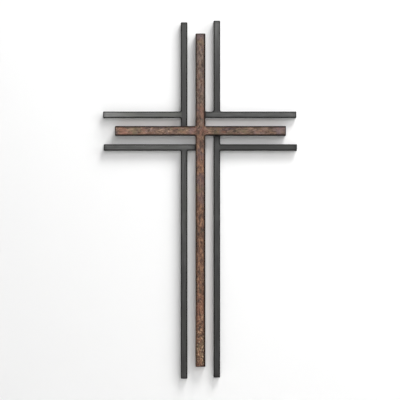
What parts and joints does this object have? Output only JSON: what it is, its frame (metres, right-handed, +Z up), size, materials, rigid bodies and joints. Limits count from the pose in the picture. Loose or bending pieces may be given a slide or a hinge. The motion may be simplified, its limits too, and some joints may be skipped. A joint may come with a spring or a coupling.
{
  "type": "metal wall cross",
  "caption": "Welded wall cross: a rust-patinated centre cross of square tube framed by slimmer dark bars in its corners, for hanging on a wall.",
  "frame": {"origin": "the crossing of the centre cross's centre lines, on its back face, which rests on the wall", "axes": "+Z up along the upright, +X to the right seen from the front, +Y into the wall"},
  "size_m": [0.3706, 0.0191, 0.6844],
  "materials": {
    "centre_patina": "mottled rust and copper patina, waxed, satin",
    "frame_gunmetal": "dark gunmetal patina, brushed along the bar, satin"
  },
  "bodies": {
    "root": {"centre_upright": "centre_patina", "centre_arm_left": "centre_patina", "centre_arm_right": "centre_patina", "upper_left_upright": "frame_gunmetal", "upper_left_arm": "frame_gunmetal", "upper_right_upright": "frame_gunmetal", "upper_right_arm": "frame_gunmetal", "lower_right_upright": "frame_gunmetal", "lower_right_arm": "frame_gunmetal", "lower_left_upright": "frame_gunmetal", "lower_left_arm": "frame_gunmetal"}
  },
  "joints": []
}
